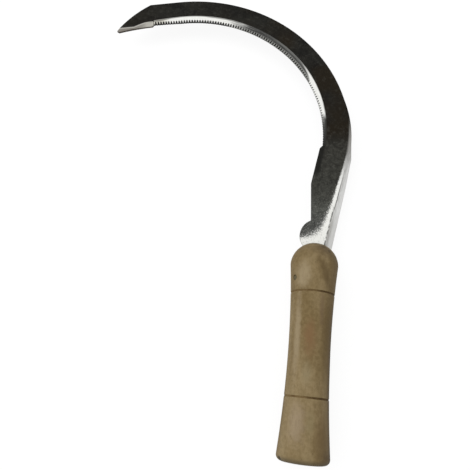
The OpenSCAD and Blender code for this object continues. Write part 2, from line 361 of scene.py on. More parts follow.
def hook_place_group():
    """Where a point lies on the blade, in millimetres: along the line of the teeth, from
    level with the hook's centre, and in from that line. Share goes from 0 at the teeth to
    1 at the bevel's upper border, and Valley from 0 in the middle of a groove to 0.5."""
    gives = [(name, "NodeSocketFloat") for name in ("Along", "Inset", "Share", "Valley")]
    tree, start, end = open_group("hook place", [("Place", "NodeSocketVector")], gives)
    x, y = in_mm(tree, start.outputs[0])[:2]
    right = calc(tree, "SUBTRACT", x, HOOK_X / MM)
    up = calc(tree, "SUBTRACT", y, HOOK_Y / MM)
    turn = calc(tree, "ARCTAN2", up, right)
    turn = calc(tree, "MINIMUM", calc(tree, "MAXIMUM", turn, 0.0), NOSE_TURN)
    level, upright = calc(tree, "COSINE", turn), calc(tree, "SINE", turn)
    reach = calc(tree, "ADD", times(tree, right, level), times(tree, up, upright))
    past = calc(tree, "SUBTRACT", times(tree, up, level), times(tree, right, upright))
    inset = calc(tree, "SUBTRACT", reach, EDGE_R / MM)
    along = calc(tree, "ADD", times(tree, turn, EDGE_R / MM), past)
    unturned = calc(tree, "SUBTRACT", 1.0, calc(tree, "DIVIDE", turn, NOSE_TURN))
    past_round = calc(tree, "DIVIDE", calc(tree, "MAXIMUM", past, 0.0), NOSE_RUN)
    straight = calc(tree, "MINIMUM", past_round, 1.0)
    lost = calc(
        tree, "ADD", times(tree, calc(tree, "POWER", unturned, 3.0), BEVEL_W - BEVEL_HEEL_W),
        times(tree, straight, BEVEL_W - BEVEL_NOSE_W),
    )
    from_teeth = calc(tree, "SUBTRACT", inset, times(tree, straight, NOSE_RISE))
    pitches = calc(tree, "DIVIDE", calc(tree, "ADD", along, HEEL_RUN), TOOTH_PITCH)
    teeth = calc(tree, "FRACT", pitches)
    put(end.inputs["Along"], along)
    put(end.inputs["Inset"], inset)
    width = calc(tree, "SUBTRACT", BEVEL_W, lost)
    put(end.inputs["Share"], calc(tree, "DIVIDE", from_teeth, width))
    put(end.inputs["Valley"], calc(tree, "ABSOLUTE", calc(tree, "SUBTRACT", teeth, 0.5)))
    return tree


def neck_place_group():
    """Height above the handle and distance left of the crease, in millimetres."""
    gives = [("Above", "NodeSocketFloat"), ("Left", "NodeSocketFloat")]
    tree, start, end = open_group("neck place", [("Place", "NodeSocketVector")], gives)
    x, y = in_mm(tree, start.outputs[0])[:2]
    above = calc(tree, "SUBTRACT", y, HANDLE_LEN / MM)
    crease = calc(tree, "ADD", times(tree, above, CREASE_LEAN), CREASE_FOOT_X / MM)
    put(end.inputs["Above"], above)
    put(end.inputs["Left"], calc(tree, "SUBTRACT", crease, x))
    return tree


def speckle_group():
    """Small grains: a mask that is 1 inside scattered specks of a given share."""
    takes = [("Place", "NodeSocketVector")]
    takes += [(name, "NodeSocketFloat") for name in ("Scale", "Share")]
    tree, start, end = open_group("speckle", takes, [("Mask", "NodeSocketFloat")])
    grains = grain(tree, start.outputs[0], start.outputs[1], 2.0, 0.6)
    edge = calc(tree, "SUBTRACT", 0.72, times(tree, start.outputs[2], 0.45))
    put(end.inputs[0], spread(tree, grains, edge, calc(tree, "ADD", edge, 0.06)))
    return tree


def wear_group():
    """Slow mottling and fine grain together, from 0 to 1."""
    takes = [("Place", "NodeSocketVector")]
    takes += [(name, "NodeSocketFloat") for name in ("Slow", "Fine")]
    tree, start, end = open_group("wear", takes, [("Tone", "NodeSocketFloat")])
    slow = grain(tree, start.outputs[0], start.outputs[1], 3.0, 0.55)
    fine = grain(tree, start.outputs[0], start.outputs[2], 2.0, 0.6)
    both = calc(tree, "ADD", times(tree, slow, 0.65), times(tree, fine, 0.35))
    put(end.inputs[0], spread(tree, both, 0.36, 0.64))
    return tree


def patch_group():
    """A soft patch with a ragged edge round a centre, its half sizes in metres."""
    takes = [(name, "NodeSocketVector") for name in ("Place", "Centre", "Size")]
    takes += [("Slant", "NodeSocketFloat")]
    tree, start, end = open_group("patch", takes, [("Mask", "NodeSocketFloat")])
    place, centre, size, slant = start.outputs[:4]
    away = add(tree, "ShaderNodeVectorMath", {0: place, 1: centre}, operation="SUBTRACT")
    parts = add(tree, "ShaderNodeSeparateXYZ", {0: away.outputs[0]}).outputs
    across = calc(tree, "SUBTRACT", parts[0], times(tree, parts[1], slant))
    turned = add(tree, "ShaderNodeCombineXYZ", {0: across, 1: parts[1], 2: parts[2]})
    held = add(tree, "ShaderNodeVectorMath", {0: turned.outputs[0], 1: size}, operation="DIVIDE")
    far = add(tree, "ShaderNodeVectorMath", {0: held.outputs[0]}, operation="LENGTH").outputs[1]
    ragged = times(tree, grain(tree, place, 260.0, 3.0, 0.6), 0.9)
    put(end.inputs[0], spread(tree, calc(tree, "ADD", far, ragged), 1.6, 0.6))
    return tree


def bright_bevel(tree, along, share, tone):
    """The brightly ground steel: beige by the tip, with a darker fringe along the skin."""
    bright = blend(tree, tone, rgb(230, 230, 226), rgb(252, 252, 248))
    beige = blend(tree, tone, rgb(196, 193, 182), rgb(224, 221, 211))
    bright = blend(tree, spread(tree, along, 183.0, 192.0), bright, beige)
    nearer = calc(
        tree, "SUBTRACT", spread(tree, along, 126.0, 134.0), spread(tree, along, 150.0, 160.0)
    )
    nearer = calc(tree, "ADD", nearer, spread(tree, along, 182.0, 194.0, 0.0, 2.2))
    nearer = calc(tree, "ADD", nearer, spread(tree, along, 36.0, 24.0))
    fringe = spread(tree, calc(tree, "ADD", share, times(tree, nearer, 0.08)), 0.84, 0.97)
    return blend(tree, times(tree, fringe, 0.75), bright, rgb(112, 111, 106))


def dark_reflection_bevel(tree, along, inset, share, tone):
    """Painted reflection of dark surroundings on the steel in the bend: grey, paler between
    the grooves and along the skin.
    """
    reflected_grey = blend(tree, tone, rgb(50, 50, 49), rgb(92, 92, 90))
    border = calc(
        tree, "ADD", spread(tree, along, 88.0, 104.0, 0.8, 0.15),
        spread(tree, along, 118.0, 126.0, 0.0, 0.6),
    )
    by_skin = times(tree, spread(tree, share, 0.6, 0.85), border)
    reflected_grey = blend(tree, by_skin, reflected_grey, rgb(120, 120, 117))
    lands = spread(tree, inset, 2.8, 1.8)
    return blend(tree, times(tree, lands, 0.85), reflected_grey, rgb(150, 150, 146))


def dark_reflection_stretch(tree, along, inset, streaks):
    """Mask of the painted dark reflection in the bend: it widens from the teeth inwards and
    ends in streaks.
    """
    past_start = calc(tree, "MAXIMUM", calc(tree, "SUBTRACT", along, 52.5), 0.0)
    started = calc(tree, "DIVIDE", past_start, 20.0)
    border = times(tree, calc(tree, "POWER", started, 0.5), 5.0)
    inside = spread(tree, calc(tree, "SUBTRACT", border, inset), -0.9, 0.6)
    leave = calc(tree, "ADD", along, times(tree, inset, 0.7))
    leave = calc(tree, "ADD", leave, times(tree, calc(tree, "SUBTRACT", streaks, 0.5), 30.0))
    return times(tree, inside, spread(tree, leave, 144.0, 122.0))


def groove_shade_strokes(tree, along, inset, valley, place):
    """Mask of the painted shade in the grooves: broken dark strokes, from the middle of the bend
    on joined by a line along the teeth."""
    raised = spread(tree, along, ROUND_END, TEETH_END, 0.0, NOSE_RISE)
    from_teeth = calc(tree, "SUBTRACT", inset, raised)
    uneven = times(tree, calc(tree, "SUBTRACT", grain(tree, place, 500.0, 3.0, 0.6), 0.5), 0.18)
    widest = calc(
        tree, "ADD", spread(tree, along, 50.0, 64.0, 0.23, 0.3),
        spread(tree, along, 130.0, 144.0, 0.0, 0.18),
    )
    taper = times(tree, from_teeth, spread(tree, along, 130.0, 144.0, 0.02, 0.1))
    half = calc(tree, "ADD", calc(tree, "SUBTRACT", widest, taper), uneven)
    stroke = spread(tree, calc(tree, "SUBTRACT", valley, half), 0.05, -0.05)
    top = calc(
        tree, "ADD", spread(tree, along, 42.0, 95.0, 1.3, 2.3),
        spread(tree, along, 155.0, 185.0, 0.0, 0.3),
    )
    over_top = calc(tree, "SUBTRACT", from_teeth, top)
    stroke = times(tree, stroke, spread(tree, over_top, 0.25, -0.25))
    filled = spread(tree, grain(tree, place, 260.0, 2.0, 0.5), 0.34, 0.5, 0.6, 1.0)
    filled = calc(tree, "MAXIMUM", filled, spread(tree, along, 118.0, 136.0))
    base = times(
        tree, spread(tree, from_teeth, 0.95, 0.6), spread(tree, along, 132.0, 142.0, 0.0, 0.85)
    )
    both = calc(tree, "MAXIMUM", times(tree, stroke, filled), base)
    return times(tree, both, spread(tree, along, TEETH_END + 0.4, TEETH_END))


def bevel_look_group():
    """Colour of the ground bevel: dark by the neck, painted dark reflection in the bend and
    bright on both sides of it. Its second output is 1 in the grooves of the teeth, with painted
    shade."""
    gives = [("Colour", "NodeSocketColor"), ("Groove Shade", "NodeSocketFloat")]
    tree, start, end = open_group("bevel look", [("Place", "NodeSocketVector")], gives)
    place = start.outputs[0]
    along, inset, share, valley = use(tree, hook_place, {"Place": place})
    streaks = brushed(tree, along, 0.14, inset, 1.7, 0.6)
    scratch = brushed(tree, along, 2.6, inset, 0.5, 0.65)
    both = calc(tree, "ADD", times(tree, streaks, 0.6), times(tree, scratch, 0.4))
    tone = spread(tree, both, 0.34, 0.66)
    # The painted dark reflection in the bend, between the bright ground steel
    colour = blend(
        tree, dark_reflection_stretch(tree, along, inset, streaks),
        bright_bevel(tree, along, share, tone), dark_reflection_bevel(tree, along, inset, share, tone),
    )
    heel = blend(
        tree, spread(tree, share, 0.1, 0.9), tones(tree, along, HEEL_TONES), rgb(52, 51, 48)
    )
    in_heel = spread(tree, calc(tree, "ADD", along, times(tree, inset, 1.2)), 27.0, 20.0)
    colour = blend(tree, in_heel, colour, heel)
    # Painted shade in the grooves of the teeth and along them
    stroke = groove_shade_strokes(tree, along, inset, valley, place)
    put(end.inputs["Colour"], blend(tree, stroke, colour, tones(tree, along, GROOVE_SHADE_TONES)))
    put(end.inputs["Groove Shade"], stroke)
    return tree


hook_place = hook_place_group()
neck_place = neck_place_group()
speckle = speckle_group()
wear = wear_group()
patch = patch_group()
bevel_look = bevel_look_group()


# Steel


def pale_foot_reflection(tree, place, above, left):
    """Mask of a painted reflection, pale like bare metal, at the foot of the neck and along
    the crease, where the sheet curves.
    """
    height = calc(tree, "MAXIMUM", above, 0.5)
    nearer = spread(tree, above, 40.0, 62.0, 0.85, 0.2)
    strip = calc(tree, "MAXIMUM", calc(tree, "SUBTRACT", left, nearer), 0.02)
    area = spread(tree, above, 20.0, 45.0, 58.0, 46.0)
    far = calc(tree, "LOGARITHM", calc(tree, "DIVIDE", times(tree, strip, height), area), math.e)
    ragged = times(tree, calc(tree, "SUBTRACT", grain(tree, place, 1000.0, 5.0, 0.8), 0.5), 4.5)
    mask = spread(tree, calc(tree, "ADD", far, ragged), 0.5, -0.5)
    return times(tree, mask, spread(tree, above, 76.0, 66.0))


def pale_reflection_tone(tree, place, above):
    """Colour of the painted reflection on the neck: grey high up, near white towards the foot."""
    grey = tones(tree, above, PALE_REFLECTION_TONES)
    specks = use(tree, speckle, {"Place": place, "Scale": 1300.0, "Share": 0.3})[0]
    return blend(tree, times(tree, specks, 0.45), grey, rgb(150, 150, 144))


def hook_skin(tree, place, along, tone):
    """The near-black skin of the hook, browner away from the tip."""
    skin = blend(tree, tone, rgb(6, 5, 3), rgb(35, 34, 30))
    warm = spread(tree, grain(tree, place, 28.0, 2.0, 0.5), 0.38, 0.6)
    warm = times(tree, warm, spread(tree, along, 150.0, 90.0, 0.2, 0.9))
    return blend(tree, warm, skin, rgb(29, 22, 9))


def neck_skin(tree, above, grit):
    """The greyer skin of the neck, with dark pits."""
    pits = spread(tree, grit, 0.28, 0.5, 0.8, 0.0)
    return blend(tree, pits, tones(tree, above, NECK_TONES), rgb(22, 22, 20))


def blotched(tree, place, above, skin):
    """The skin with darker and paler blotches, strongest on the neck."""
    blotch = grain(tree, place, 330.0, 4.0, 0.75)
    on_neck = spread(tree, above, 100.0, 76.0, 0.4, 1.0)
    darker = times(tree, spread(tree, blotch, 0.52, 0.36, 0.0, 0.45), on_neck)
    paler = times(tree, spread(tree, blotch, 0.5, 0.66, 0.0, 0.3), on_neck)
    skin = blend(tree, darker, skin, rgb(14, 14, 12))
    return blend(tree, paler, skin, rgb(92, 92, 86))


def pale_grit(tree, above, grit):
    """Mask of the pale grains, most of them low on the neck."""
    low = spread(tree, above, 46.0, 6.0, 0.1, 0.85)
    on_neck = spread(tree, above, 100.0, 80.0, 0.15, 1.0)
    return times(tree, spread(tree, grit, 0.5, 0.68), low, on_neck)


def neck_edge_shade(tree, x, above):
    """Mask of painted shade: a darker band inside the slanted edge of the neck, under the teeth.
    """
    edge_x = times(tree, calc(tree, "SUBTRACT", SLANT_TOP, above), SLANT_LEAN)
    from_edge = calc(tree, "SUBTRACT", calc(tree, "SUBTRACT", x, edge_x), SLANT_TOP_X)
    inside = times(tree, spread(tree, above, 49.0, 56.0), spread(tree, above, 82.0, 76.0))
    return times(tree, spread(tree, from_edge, 5.2, 2.6), inside)


def rolled_back_sheen(tree, along, inset, left):
    """Mask of painted sheen on the back where it rolls over into the fold, wider towards the
    neck.
    """
    roll_w = calc(tree, "SUBTRACT", 1.9, times(tree, along, 0.1))
    low = calc(tree, "SUBTRACT", BLADE_W / MM - 0.4, roll_w)
    high = calc(tree, "SUBTRACT", BLADE_W / MM, times(tree, roll_w, 0.25))
    rolled = times(tree, spread(tree, inset, low, high), spread(tree, along, 19.0, 8.0))
    return times(tree, rolled, spread(tree, left, -2.0, 0.0))


def crease_shade_line(tree, place, above, left):
    """Mask of painted shade: a broken dark line along the low part of the crease."""
    line = times(tree, spread(tree, left, 0.75, 0.3), spread(tree, above, 34.0, 22.0))
    return times(tree, line, spread(tree, grain(tree, place, 500.0, 3.0, 0.6), 0.3, 0.55))


def dark_skin():
    """The dark rolled skin of the flat faces, with a pale painted reflection at the foot of the
    neck and along the crease, and painted sheen and shade.
    """
    made, tree, shader, place = open_material("dark_skin")
    along, inset = use(tree, hook_place, {"Place": place})[:2]
    above, left = use(tree, neck_place, {"Place": place})
    tone = use(tree, wear, {"Place": place, "Slow": 70.0, "Fine": 700.0})[0]
    grit = grain(tree, place, 950.0, 5.0, 0.8)
    skin = blend(
        tree, spread(tree, above, 92.0, 76.0),
        hook_skin(tree, place, along, tone), neck_skin(tree, above, grit),
    )
    skin = blotched(tree, place, above, skin)
    skin = blend(tree, pale_grit(tree, above, grit), skin, rgb(142, 142, 136))
    # Painted shade inside the slanted edge of the neck
    edge_shade = neck_edge_shade(tree, in_mm(tree, place)[0], above)
    skin = blend(tree, times(tree, edge_shade, 0.85), skin, rgb(20, 20, 17))
    # Painted sheen along the rolled back
    roll_sheen = rolled_back_sheen(tree, along, inset, left)
    skin = blend(tree, roll_sheen, skin, tones(tree, along, ROLL_SHEEN_TONES))
    # Painted reflection, pale like bare metal, at the foot of the neck and by the crease
    pale_reflection = pale_foot_reflection(tree, place, above, left)
    colour = blend(tree, pale_reflection, skin, pale_reflection_tone(tree, place, above))
    # Painted shade: a broken dark line along the crease
    line = crease_shade_line(tree, place, above, left)
    colour = blend(tree, times(tree, line, 0.85), colour, rgb(84, 84, 80))
    put(shader.inputs["Base Color"], colour)
    put(shader.inputs["Metallic"], calc(tree, "MAXIMUM", pale_reflection, roll_sheen))
    put(shader.inputs["Roughness"], spread(tree, tone, 0.0, 1.0, 0.5, 0.62))
    shader.inputs["Specular IOR Level"].default_value = 0.1
    bump(tree, shader, grit, 0.05 * MM)
    return made


def facet_look(tree, along, inset, below):
    """Colour of the plain facet, up to the dark skin over its slanted line."""
    past = calc(tree, "SUBTRACT", along, TEETH_END + 1.0)
    under = calc(tree, "ADD", inset, times(tree, past, 0.09))
    streaks = brushed(tree, along, 0.16, under, 1.5, 0.65)
    streaks = spread(tree, streaks, 0.35, 0.65, 0.0, 0.45)
    facet = blend(tree, streaks, tones(tree, along, FACET_TONES), rgb(120, 114, 105))
    light_line = times(
        tree, spread(tree, below, 0.9, 0.45), spread(tree, along, 203.0, 206.0), 0.7
    )
    facet = blend(tree, light_line, facet, rgb(206, 203, 197))
    low_edge = times(
        tree, spread(tree, under, 0.1, -0.5), spread(tree, along, 206.0, 212.0), 0.6
    )
    return blend(tree, low_edge, facet, rgb(104, 96, 88))


def skin_line(tree, along):
    """How far in from the teeth the line of the dark skin lies on the facet."""
    fall = times(tree, calc(tree, "SUBTRACT", along, LINE_FROM), LINE_FALL)
    line = calc(tree, "MINIMUM", calc(tree, "SUBTRACT", LINE_TOP, fall), LINE_TOP)
    return calc(tree, "MAXIMUM", line, LINE_LOW)


def ground_steel():
    """The ground bevel and the teeth cut in it, and the plain facet at the tip, on which
    the dark skin still lies above a slanted line."""
    made, tree, shader, place = open_material("ground_steel")
    along, inset = use(tree, hook_place, {"Place": place})[:2]
    # The bevel's colour, and the mask of the painted shade in its grooves
    colour, groove_shade = use(tree, bevel_look, {"Place": place})
    below = calc(tree, "SUBTRACT", skin_line(tree, along), inset)
    over_line = spread(tree, below, 0.4, -0.7)
    facet = facet_look(tree, along, inset, below)
    facet = blend(tree, over_line, facet, rgb(34, 33, 30))
    on_facet = spread(tree, along, TEETH_END + 0.3, TEETH_END + 1.0)
    put(shader.inputs["Base Color"], blend(tree, on_facet, colour, facet))
    # The painted groove shade and the dark skin on the facet are not metallic
    groove_shade_and_skin = calc(tree, "MAXIMUM", groove_shade, times(tree, on_facet, over_line))
    put(shader.inputs["Metallic"], calc(tree, "SUBTRACT", 1.0, groove_shade_and_skin))
    scratch = brushed(tree, along, 3.0, inset, 0.5, 0.65)
    put(shader.inputs["Roughness"], spread(tree, scratch, 0.0, 1.0, 0.36, 0.5))
    shader.inputs["Specular IOR Level"].default_value = 0.1
    bump(tree, shader, scratch, 0.02 * MM)
    return made


def folded_steel():
    """The bare strip folded back along the neck, brushed along its length, with a pale painted
    reflection by the crease on its inner side, a line of painted shade beside that, and a
    painted highlight towards its outer side."""
    made, tree, shader, place = open_material("folded_steel")
    above, left = use(tree, neck_place, {"Place": place})
    wiggle = times(tree, calc(tree, "SUBTRACT", grain(tree, place, 300.0, 3.0, 0.6), 0.5), 0.8)
    across = calc(tree, "ADD", left, wiggle)
    marks = brushed(tree, across, 1.9, above, 0.16, 0.6)
    colour = blend(
        tree, spread(tree, marks, 0.36, 0.64),
        tones(tree, above, FOLD_DARKER), tones(tree, above, FOLD_LIGHTER),
    )
    # Painted highlight: lighter towards the strip's outer side, where it curves
    outer = times(tree, spread(tree, left, -1.2, -3.4), spread(tree, above, 70.0, 58.0, 0.1, 0.6))
    colour = blend(tree, outer, colour, rgb(226, 226, 224))
    # Painted reflection: the pale strip between the crease and the dark line
    from_line = calc(tree, "ADD", across, spread(tree, above, 20.0, 36.0, 0.0, 0.75))
    pale_reflection = times(tree, spread(tree, from_line, 0.0, 0.4), spread(tree, above, 20.0, 30.0))
    colour = blend(tree, pale_reflection, colour, pale_reflection_tone(tree, place, above))
    # Painted shade: the dark line beside the crease
    line = spread(tree, calc(tree, "ABSOLUTE", from_line), 0.6, 0.1)
    line = times(tree, line, spread(tree, above, 58.0, 36.0, 0.15, 0.85))
    put(shader.inputs["Base Color"], blend(tree, line, colour, rgb(96, 96, 92)))
    shader.inputs["Metallic"].default_value = 1.0
    put(shader.inputs["Roughness"], spread(tree, marks, 0.0, 1.0, 0.38, 0.5))
    bump(tree, shader, marks, 0.02 * MM)
    return made


def rubbed_rim():
    """The rims of the sheet: paler metal round the hook and along the fold, and dark
    along the neck and under the tip."""
    made, tree, shader, place = open_material("rubbed_rim")
    along, inset = use(tree, hook_place, {"Place": place})[:2]
    above, left = use(tree, neck_place, {"Place": place})
    tone = use(tree, wear, {"Place": place, "Slow": 160.0, "Fine": 1500.0})[0]
    hook = blend(tree, tone, rgb(96, 95, 90), rgb(166, 165, 160))
    neck = blend(tree, tone, rgb(36, 36, 33), rgb(66, 66, 62))
    under_tip = blend(tree, tone, rgb(54, 48, 42), rgb(92, 84, 76))
    colour = blend(tree, spread(tree, above, 84.0, 78.0), hook, neck)
    outer = times(tree, spread(tree, left, 2.5, 1.0), spread(tree, above, 102.0, 88.0))
    colour = blend(tree, outer, colour, tones(tree, above, FOLD_RIM_TONES))
    tip = spread(tree, along, TEETH_END - 1.0, TEETH_END + 1.0)
    tip = times(tree, tip, spread(tree, inset, 1.6, 0.6))
    put(shader.inputs["Base Color"], blend(tree, tip, colour, under_tip))
    shader.inputs["Metallic"].default_value = 0.8
    put(shader.inputs["Roughness"], spread(tree, tone, 0.0, 1.0, 0.4, 0.55))
    return made


def dull_iron():
    """The nail's dull dark iron, with wood dust and a trace of rust on it."""
    made, tree, shader, place = open_material("dull_iron")
    tone = use(tree, wear, {"Place": place, "Slow": 500.0, "Fine": 2500.0})[0]
    put(shader.inputs["Base Color"], blend(tree, tone, rgb(82, 74, 50), rgb(112, 102, 72)))
    shader.inputs["Metallic"].default_value = 0.3
    put(shader.inputs["Roughness"], spread(tree, tone, 0.0, 1.0, 0.55, 0.75))
    bump(tree, shader, tone, 0.05 * MM)
    return made


# Wood

# Patches on the front of the handle: centre and half size in millimetres, slant, tone from
# 0 to 255 and strength
WOOD_PATCHES = [
    # Painted highlight: the pale pinkish patch low on the left side
    ((-7, 23, 13), (7, 15, 12), 0.0, (164, 146, 122), 0.55),
    ((1, 23, 15), (4, 9, 12), 0.0, (138, 126, 92), 0.4),
    ((-2, 74, 13), (5, 15, 10), -0.05, (128, 98, 66), 0.75),
    ((-9.5, 76, 10), (2.4, 36, 8), 0.0, (164, 147, 117), 0.7),
    ((-2.5, 52, 13), (4, 9, 12), 0.0, (150, 137, 106), 0.45),
    ((5, 92, 13), (2.4, 15, 10), -0.05, (112, 92, 68), 0.6),
    ((9, 80, 10), (5, 30, 9), 0.0, (98, 80, 47), 0.55),
    ((-8, 115, 12), (6, 13, 12), 0.0, (168, 151, 120), 0.7),
    ((5, 118, 14), (4, 17, 11), -0.42, (88, 70, 40), 0.65),
    ((4, 133, 10), (9, 8, 12), -0.5, (84, 67, 42), 0.7),
    ((9, 14, 12), (7, 18, 10), 0.0, (104, 82, 50), 0.6),
    ((13, 4, 8), (6, 6, 10), 0.0, (78, 63, 46), 0.7),
    ((-1, 131, 10), (12, 7, 12), 0.0, (106, 89, 60), 0.35),
    # Painted shade: two dark spots at the top of the dome, where the blade's fold meets it
    ((4.6, 135.4, 10.5), (3.4, 1.6, 4), 0.0, (52, 40, 26), 0.5),
    ((8.3, 132.8, 10.6), (1.8, 2.2, 3), 0.0, (48, 36, 24), 0.6),
]


def bare_wood(tree, broad, mottle):
    """The colour of the clean wood, in broad lighter and darker stretches."""
    flecked = spread(tree, mottle, 0.3, 0.7)
    light = blend(tree, flecked, rgb(136, 118, 83), rgb(152, 133, 98))
    middle = blend(tree, flecked, rgb(114, 95, 60), rgb(131, 112, 76))
    return blend(tree, spread(tree, broad, 0.35, 0.65), light, middle)


def patched(tree, place, colour):
    """The wood with the patches that hands and years have left on it, and among them a painted
    highlight and painted shade, as marked in the table.
    """
    for centre, size, slant, tone, strength in WOOD_PATCHES:
        mask = use(tree, patch, {
            "Place": place, "Centre": Vector(centre) * MM, "Size": Vector(size) * MM,
            "Slant": slant,
        })[0]
        colour = blend(tree, times(tree, mask, strength), colour, rgb(*tone))
    return colour


def right_edge_shade(tree, x, y):
    """Mask of painted shade along the right side of the handle, below its head, darkest at the
    outline.
    """
    away = calc(tree, "DIVIDE", calc(tree, "SUBTRACT", y, GRIP_Y / MM), 60.0)
    radius = calc(tree, "ADD", times(tree, away, away, 2.7), GRIP_R / MM)
    from_side = calc(tree, "SUBTRACT", radius, x)
    on_side = spread(tree, from_side, 3.6, 0.5, 0.0, 0.6)
    return times(tree, on_side, spread(tree, y, 100.0, 90.0))


def oiled_wood():
    """Turned hardwood, oiled: patchy, with fine lengthwise grain, and with painted shade on the
    right side, at the butt and at the top of the dome.
    """
    made, tree, shader, place = open_material("oiled_wood")
    x, y = in_mm(tree, place)[:2]
    broad = grain(tree, scaled(tree, place, 1.0, 0.25, 1.0), 75.0, 3.0, 0.5)
    fine = grain(tree, scaled(tree, place, 1.0, 0.12, 1.0), 900.0, 5.0, 0.65)
    mottle = grain(tree, place, 420.0, 4.0, 0.65)
    colour = patched(tree, place, bare_wood(tree, broad, mottle))
    # Painted shade: the right side darker, away from the light on the left
    side = times(tree, spread(tree, x, 4.0, 14.0), spread(tree, broad, 0.2, 0.6, 0.3, 0.6))
    colour = blend(tree, side, colour, rgb(88, 70, 38))
    # Painted shade towards the right outline
    colour = blend(tree, right_edge_shade(tree, x, y), colour, rgb(60, 47, 35))
    lines = times(tree, spread(tree, fine, 0.5, 0.75), 0.22)
    colour = blend(tree, lines, colour, rgb(84, 66, 38))
    long_place = scaled(tree, place, 1.0, 0.4, 1.0)
    pores = use(tree, speckle, {"Place": long_place, "Scale": 900.0, "Share": 0.2})[0]
    colour = blend(tree, times(tree, pores, 0.2), colour, rgb(76, 60, 36))
    # Painted shade along the butt's lower edge, in mottled patches
    butt_edge_shade = times(tree, spread(tree, y, 4.2, 0.3), spread(tree, mottle, 0.2, 0.6, 0.4, 0.75))
    colour = blend(tree, butt_edge_shade, colour, rgb(72, 64, 48))
    # Painted shade along the top edge of the dome, where it meets the neck
    dome_top_shade = spread(tree, y, 136.5, 139.5, 0.0, 0.62)
    colour = blend(tree, dome_top_shade, colour, rgb(60, 52, 38))
    chip = use(tree, patch, {"Place": place, "Centre": CHIP_AT, "Size": CHIP_SIZE})[0]
    put(shader.inputs["Base Color"], blend(tree, chip, colour, rgb(20, 16, 12)))
    put(shader.inputs["Roughness"], spread(tree, mottle, 0.2, 0.8, 0.5, 0.68))
    shader.inputs["Specular IOR Level"].default_value = 0.2
    bump(tree, shader, fine, 0.08 * MM, 0.6)
    return made


def burnt_score():
    """The darkened bottoms of the scored lines."""
    made, tree, shader, place = open_material("burnt_score")
    x = in_mm(tree, place)[0]
    tone = use(tree, wear, {"Place": place, "Slow": 250.0, "Fine": 1500.0})[0]
    brown = blend(tree, tone, rgb(100, 80, 50), rgb(124, 104, 70))
    dark = blend(tree, tone, rgb(66, 50, 27), rgb(88, 70, 42))
    # Darker towards the right side: painted shade, as on the rest of the handle
    put(shader.inputs["Base Color"], blend(tree, spread(tree, x, -6.0, 9.0), brown, dark))
    put(shader.inputs["Roughness"], spread(tree, tone, 0.0, 1.0, 0.6, 0.8))
    shader.inputs["Specular IOR Level"].default_value = 0.1
    return made


SKIN, GROUND, FOLD, RIM = range(4)
OILED, SCORED = range(2)
steel_finishes = [dark_skin(), ground_steel(), folded_steel(), rubbed_rim()]
wood_finishes = [oiled_wood(), burnt_score()]
iron_finish = dull_iron()


# Meshes


def finish_piece(name, mesh_data, finishes, node):
    """Turns a bmesh into a named piece that stands for a node of the model."""
    mesh = bpy.data.meshes.new(name)
    mesh_data.to_mesh(mesh)
    mesh_data.free()
    for finish in finishes:
        mesh.materials.append(finish)
    piece = bpy.data.objects.new(name, mesh)
    bpy.context.scene.collection.objects.link(piece)
    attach(piece, "root")
    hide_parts(node)
    return piece


def on_hook(point):
    """Where a point lies on the blade, in millimetres: along the line of the teeth and in
    from it."""
    right, up = (point.x - HOOK_X) / MM, (point.y - HOOK_Y) / MM
    turn = min(max(math.atan2(up, right), 0.0), NOSE_TURN)
    inset = right * math.cos(turn) + up * math.sin(turn) - EDGE_R / MM
    past = up * math.cos(turn) - right * math.sin(turn)
    return turn * EDGE_R / MM + past, inset


def steel_finish_of(face):
    """The finish of one face of the blade, from where it lies and how it is tilted."""
    middle, tilt = face.calc_center_median(), face.normal
    along, inset = on_hook(middle)
    is_wall = abs(tilt.z) < 0.5
    on_fold = tilt.x > 0.25 and tilt.z > 0.5 and along < 0 and inset > 8
    on_bevel = along > -9 and inset < 7 and 0.1 < tilt.z < 0.9995
    tooth_wall = is_wall and 18 < along < 196 and inset < 3
    under_tip = is_wall and along > 196 and inset < 2
    above_fold = abs(tilt.z) < 0.7 and -2.5 < along < 0.5 and inset > 20
    if on_fold:
        return FOLD
    if on_bevel or tooth_wall:
        return GROUND
    if under_tip or above_fold:
        return RIM
    return SKIN


def close_gap(shape):
    """Slides the front of the round bend up to the hook, over the short gap between them."""
    crease_top = Vector((CREASE_TOP_X, HOOK_Y, 0.0))
    up = Vector((CREASE_LEAN, 1.0, 0.0)).normalized()
    out = Vector((up.y, -up.x, 0.0))
    starts = []
    for vert in shape.verts:
        away = vert.co - crease_top
        from_strip = vert.co.z * math.sin(FOLD_TURN) - away.dot(out) * math.cos(FOLD_TURN)
        at_start = abs(away.dot(up) + FOLD_FROM) < TOUCH
        if at_start and from_strip > -MERGE and away.dot(out) > -TOUCH:
            starts.append(vert)
    bmesh.ops.translate(shape, verts=starts, vec=up * FOLD_FROM)
    bmesh.ops.remove_doubles(shape, verts=shape.verts[:], dist=TOUCH / 2)


def sheet_rims(shape):
    """The sharp edges of the sheet outside the wood, but for the ground ones."""
    return [
        edge
        for edge in shape.edges
        if edge.calc_face_angle() > SHARP
        and all(face.material_index in (SKIN, FOLD) for face in edge.link_faces)
        and min(vert.co.y for vert in edge.verts) > HANDLE_LEN
        and abs(edge.verts[0].co.z - edge.verts[1].co.z) < 0.1 * MM
    ]


